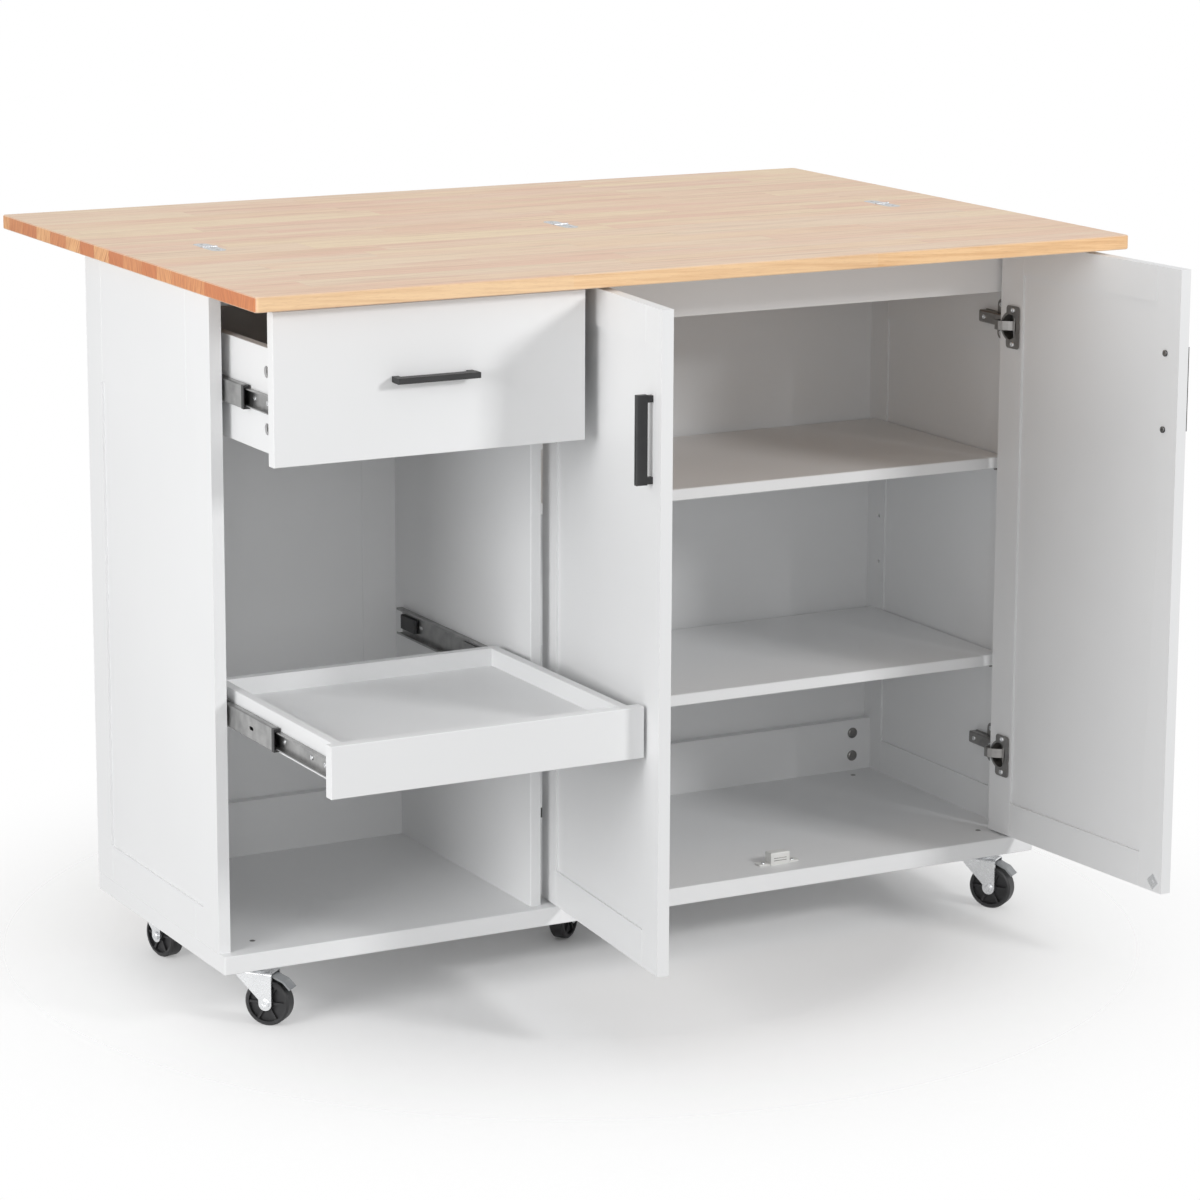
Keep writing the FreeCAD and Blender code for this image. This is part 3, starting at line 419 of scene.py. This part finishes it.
def fromPin(side, across, depth, height):
    # across from the hinge edge and depth from the outer face of the shut door
    way = doors[side]["way"]
    return Vector((way * (across - doorPin["in"]), depth - doorPin["back"], height))


def onDoor(side, across, depth, height):
    door = doors[side]
    return (door["pin"] + door["turn"] @ fromPin(side, across, depth, height)) * mm


def besideDoor(side, across, depth, height):
    # on the board that carries the hinge, so it isn't turned
    return (doors[side]["pin"] + fromPin(side, across, depth, height)) * mm


def doorInward(side):
    return doors[side]["turn"] @ Vector((0, 1, 0))


# pressed plate over the far half of each hinge cup, counted from the cup's middle, with a round
# notch that lets the arm's neck swing through
cupPlate = {"middle": 21.5, "near": -7.5, "far": 19.5, "reach": 28.0, "notch": 16.5, "notchDepth": 13.0,
            "notchSteps": 14, "depth": 16.2, "thick": 0.8, "corner": 4.5, "notchCorner": 1.5,
            "cornerSteps": 4}


def cupPlateOn(side, middle, name):
    near, far, reach = cupPlate["near"], cupPlate["far"], cupPlate["reach"]
    notch, notchDepth, steps = cupPlate["notch"], cupPlate["notchDepth"], cupPlate["notchSteps"]
    turns = [math.pi * (0.5 - step / steps) for step in range(steps + 1)]
    outline = [(near, -reach), (far, -reach), (far, reach), (near, reach), (near, notch)]
    outline += [(notchDepth * math.cos(turn), notch * math.sin(turn)) for turn in turns]
    outline.append((near, -notch))
    bm = bmesh.new()
    verts = [bm.verts.new(onDoor(side, cupPlate["middle"] + across, cupPlate["depth"], middle + height))
             for across, height in outline]
    bm.faces.new(verts)
    for corners, size in ((verts[:4], cupPlate["corner"]),
                          ([verts[4], verts[-1]], cupPlate["notchCorner"])):
        bmesh.ops.bevel(bm, geom=corners, offset=size * mm, segments=cupPlate["cornerSteps"],
                        profile=0.5, affect="VERTICES", material=-1)
    grown = bmesh.ops.extrude_face_region(bm, geom=bm.faces[:], use_keep_orig=True)
    moved = [item for item in grown["geom"] if isinstance(item, bmesh.types.BMVert)]
    bmesh.ops.translate(bm, verts=moved, vec=doorInward(side) * cupPlate["thick"] * mm)
    finishPiece(name, bm, finishes["hinge_zinc"], side + "_door")


hingeScrew = {"radius": 3.4, "height": 1.3, "heights": (212.5, 788.0), "reach": 22.5, "across": 27.0,
              "depth": 17.0}
wingScrew = {"radius": 3.4, "height": 1.3, "reach": 19.0, "across": 0.5, "depth": 64.5}
armScrew = {"radius": 3.2, "height": 1.5, "across": 9.0, "depths": (52.0, 92.0)}
gripScrew = {"radius": 3.7, "height": 0.4, "across": 330.5, "depth": 16.75, "heights": (700.5, 796.5)}
strikeScrew = {"radius": 2.5, "height": 0.5, "across": 340.0, "depth": 15.9, "level": 118.7}
for side, door in doors.items():
    inward = doorInward(side)
    sideways = (door["way"], 0, 0)
    body = side + "_door"
    places = [(onDoor(side, hingeScrew["across"], hingeScrew["depth"], height + way * hingeScrew["reach"]),
               inward) for height in hingeScrew["heights"] for way in (-1, 1)]
    screwsOn(side + "CupScrews", body, "bright_zinc", places, hingeScrew)
    for height, level in zip(hingeScrew["heights"], ("Low", "High")):
        cupPlateOn(side, height, side + "CupPlate" + level)
    places = [(onDoor(side, gripScrew["across"], gripScrew["depth"], height), inward)
              for height in gripScrew["heights"]]
    screwsOn(side + "GripScrews", body, "hinge_zinc", places, gripScrew)
    places = [(onDoor(side, strikeScrew["across"], strikeScrew["depth"], strikeScrew["level"]), inward)]
    screwsOn(side + "StrikeScrew", body, "bright_zinc", places, strikeScrew)
    places = [(besideDoor(side, wingScrew["across"], wingScrew["depth"], height + way * wingScrew["reach"]),
               sideways) for height in hingeScrew["heights"] for way in (-1, 1)]
    screwsOn(side + "WingScrews", "cabinet", "bright_zinc", places, wingScrew)
    places = [(besideDoor(side, armScrew["across"], depth, height), sideways)
              for height in hingeScrew["heights"] for depth in armScrew["depths"]]
    screwsOn(side + "ArmScrews", "cabinet", "bright_zinc", places, armScrew)

drawerGrip = {"half": 48.0, "proud": 1.75}
middle, inner = middleOf("drawer_front"), boxOf("drawer_front")[1]
places = [(Vector((middle.x + way * drawerGrip["half"], inner.y + drawerGrip["proud"],
                   middleOf("drawer_handle").z)) * mm, (0, 1, 0)) for way in (-1, 1)]
screwsOn("drawerGripScrews", "drawer", "bright_zinc", places, gripScrew)

# cam discs sunk in the drawer's sides, and the cams of the cupboard's back rail
drawerCam = {"radius": 6.6, "height": 0.8, "inset": 28.0, "sink": 3.0}
low, high = boxOf("drawer_sides")
places = [(Vector((x - way * drawerCam["sink"], low.y + drawerCam["inset"], z)) * mm, (way, 0, 0))
          for x, way in ((low.x, -1), (high.x, 1))
          for z in (low.z + drawerCam["inset"], high.z - drawerCam["inset"])]
screwsOn("drawerCams", "drawer", "hinge_zinc", places, drawerCam)
railCam = {"radius": 6.0, "height": 0.5, "inset": 29.0, "proud": 1.0, "rises": (21.0, 54.0)}
low, high = boxOf("back_rails")
places = [(Vector((high.x - railCam["inset"], low.y - railCam["proud"], low.z + rise)) * mm, (0, -1, 0))
          for rise in railCam["rises"]]
screwsOn("railCams", "cabinet", "hinge_zinc", places, railCam)
catchScrew = {"radius": 3.0, "height": 0.9, "reach": 22.0, "rise": 1.9}
low, middle = boxOf("door_catch")[0], middleOf("door_catch")
places = [(Vector((middle.x + way * catchScrew["reach"], middle.y, low.z + catchScrew["rise"])) * mm,
           (0, 0, 1)) for way in (-1, 1)]
screwsOn("catchScrews", "cabinet", "bright_zinc", places, catchScrew)

# the two pole plates that show as dark lines in the catch's front
pole = {"size": (19.0, 0.3, 1.1), "bevel": 0.12, "bevelSteps": 2, "rises": (5.4, 8.6)}
bm = bmesh.new()
for rise in pole["rises"]:
    place = Vector((middle.x, low.y, low.z + rise)) * mm
    matrix = Matrix.LocRotScale(place, None, Vector(pole["size"]) * mm)
    bmesh.ops.create_cube(bm, size=1.0, matrix=matrix)
bmesh.ops.bevel(bm, geom=bm.edges[:], offset=pole["bevel"] * mm, segments=pole["bevelSteps"],
                profile=0.5, affect="EDGES", material=-1)
finishPiece("catchPoles", bm, finishes["hinge_zinc"], "cabinet")

# casters: screws through the base, under each plate and on both ends of the axles
casters = ("front_left", "front_right", "rear_left", "rear_right", "centre")
baseScrew = {"radius": 3.6, "height": 0.35}
plateScrew = {"radius": 3.4, "height": 1.6, "drop": 2.5, "reach": 16.5}
axleScrew = {"radius": 4.6, "height": 0.45, "out": 16.75}
low, high = boxOf("base_board")
kingpins = [Vector(joints["swivel_" + name]["pos_m"]) / mm for name in casters]
places = [(Vector((pin.x, pin.y, high.z)) * mm, (0, 0, 1)) for pin in kingpins]
screwsOn("baseScrews", "cabinet", "hinge_zinc", places, baseScrew)
places = [(Vector((pin.x + across * plateScrew["reach"], pin.y + along * plateScrew["reach"],
                   low.z - plateScrew["drop"])) * mm, (0, 0, -1))
          for pin in kingpins for across in (-1, 1) for along in (-1, 1)]
screwsOn("plateScrews", "cabinet", "bright_zinc", places, plateScrew)
for name in casters:
    axle = joints["roll_" + name]
    hub = Vector(axle["pos_m"])
    outward = -Vector(axle["axis"])
    places = [(hub + outward * way * axleScrew["out"] * mm, outward * way) for way in (-1, 1)]
    screwsOn("axleScrews_" + name, "fork_" + name, "bright_zinc", places, axleScrew)

# screws that hold the slides to the drawer and the tray
slideScrew = {"radius": 3.2, "height": 0.9, "sink": 6.3, "steps": (22.0, 60.0, 138.0, 252.0)}
for body in ("drawer", "tray"):
    low, high = boxOf(body + "_slide_inner")
    places = [(Vector((x - way * slideScrew["sink"], low.y + step, (low.z + high.z) / 2)) * mm, (way, 0, 0))
              for x, way in ((low.x, -1), (high.x, 1)) for step in slideScrew["steps"]]
    screwsOn(body + "SlideScrews", body, "bright_zinc", places, slideScrew)

print("screws and plates in")


# the floor fades out between two distances, and the lamps are in metres and watts
studio = {"radius": 3.0, "sides": 96, "pale": (0.93, 0.93, 0.93), "shade": (0.91, 0.91, 0.91),
          "cloud": (0.3, 0.7), "patch": 1.5, "roughness": 0.7, "fade": (0.45, 1.05),
          "world": 0.49, "seen": 1.0}
lamps = {"key": {"place": (-2.95, -1.05, 1.2), "target": (-0.3, -0.1, 0.5), "size": (1.5, 1.3),
                 "power": 43.0},
         "front": {"place": (1.9, -3.5, 2.2), "target": (0, -0.3, 0.5), "size": (0.6, 0.6), "power": 59.0},
         "fill": {"place": (-1.9, -3.9, 1.2), "target": (0, 0, 0.6), "size": (1.2, 1.2), "power": 11.0},
         "above": {"place": (0.1, 0.5, 3.4), "target": (0.1, 0.3, 0), "size": (2.4, 2.0), "power": 15.0}}
photoView = {"sensor": 36.0, "lens": 120.559, "shift": -0.05, "place": (-2.38219, -4.49564, 1.5898),
             "angles": (78.1255, -0.2364, -28.2723)}


def makeFloor():
    bm = bmesh.new()
    bmesh.ops.create_circle(bm, cap_ends=True, segments=studio["sides"], radius=studio["radius"])
    look = Look("floor", studio["roughness"])
    x, y, z = look.axes(look.place())
    left = 1.0 - (x * x + y * y).root().ramp(*studio["fade"])
    cloud = look.noise(studio["patch"], look.place())
    look.wear(Base_Color=look.mix(cloud.ramp(*studio["cloud"]), studio["shade"], studio["pale"]),
              Alpha=left * left)
    floor = asObject("floor", bm, look.mat)


def makeWorld():
    # lights the object evenly, and shows white to the camera, in gloss and through glass
    world = bpy.data.worlds.new("studio")
    bpy.context.scene.world = world
    world.use_nodes = True
    tree = world.node_tree
    tree.nodes.clear()
    path = tree.nodes.new("ShaderNodeLightPath")
    most = path.outputs["Is Camera Ray"]
    for kind in ("Is Glossy Ray", "Is Transmission Ray"):
        larger = tree.nodes.new("ShaderNodeMath")
        larger.operation = "MAXIMUM"
        tree.links.new(most, larger.inputs[0])
        tree.links.new(path.outputs[kind], larger.inputs[1])
        most = larger.outputs[0]
    blend = tree.nodes.new("ShaderNodeMixShader")
    tree.links.new(most, blend.inputs[0])
    for socket, strength in ((1, studio["world"]), (2, studio["seen"])):
        ground = tree.nodes.new("ShaderNodeBackground")
        ground.inputs["Color"].default_value = (1, 1, 1, 1)
        ground.inputs["Strength"].default_value = strength
        tree.links.new(ground.outputs[0], blend.inputs[socket])
    out = tree.nodes.new("ShaderNodeOutputWorld")
    tree.links.new(blend.outputs[0], out.inputs["Surface"])


def softLamp(name, place, target, size, power):
    lamp = bpy.data.lights.new(name, "AREA")
    lamp.shape = "RECTANGLE"
    lamp.size, lamp.size_y = size
    lamp.energy = power
    held = bpy.data.objects.new(name, lamp)
    held.location = place
    held.rotation_mode = "QUATERNION"
    held.rotation_quaternion = (Vector(target) - Vector(place)).to_track_quat("-Z", "Y")
    bpy.context.collection.objects.link(held)


def makeCamera():
    data = bpy.data.cameras.new("camera")
    data.sensor_width = photoView["sensor"]
    data.lens = photoView["lens"]
    data.shift_y = photoView["shift"]
    camera = bpy.data.objects.new("camera", data)
    camera.location = photoView["place"]
    camera.rotation_euler = [math.radians(angle) for angle in photoView["angles"]]
    bpy.context.collection.objects.link(camera)
    bpy.context.scene.camera = camera


makeFloor()
makeWorld()
for name, lamp in lamps.items():
    softLamp(name, **lamp)
makeCamera()
bpy.context.scene.view_settings.view_transform = "Standard"
print("studio set")
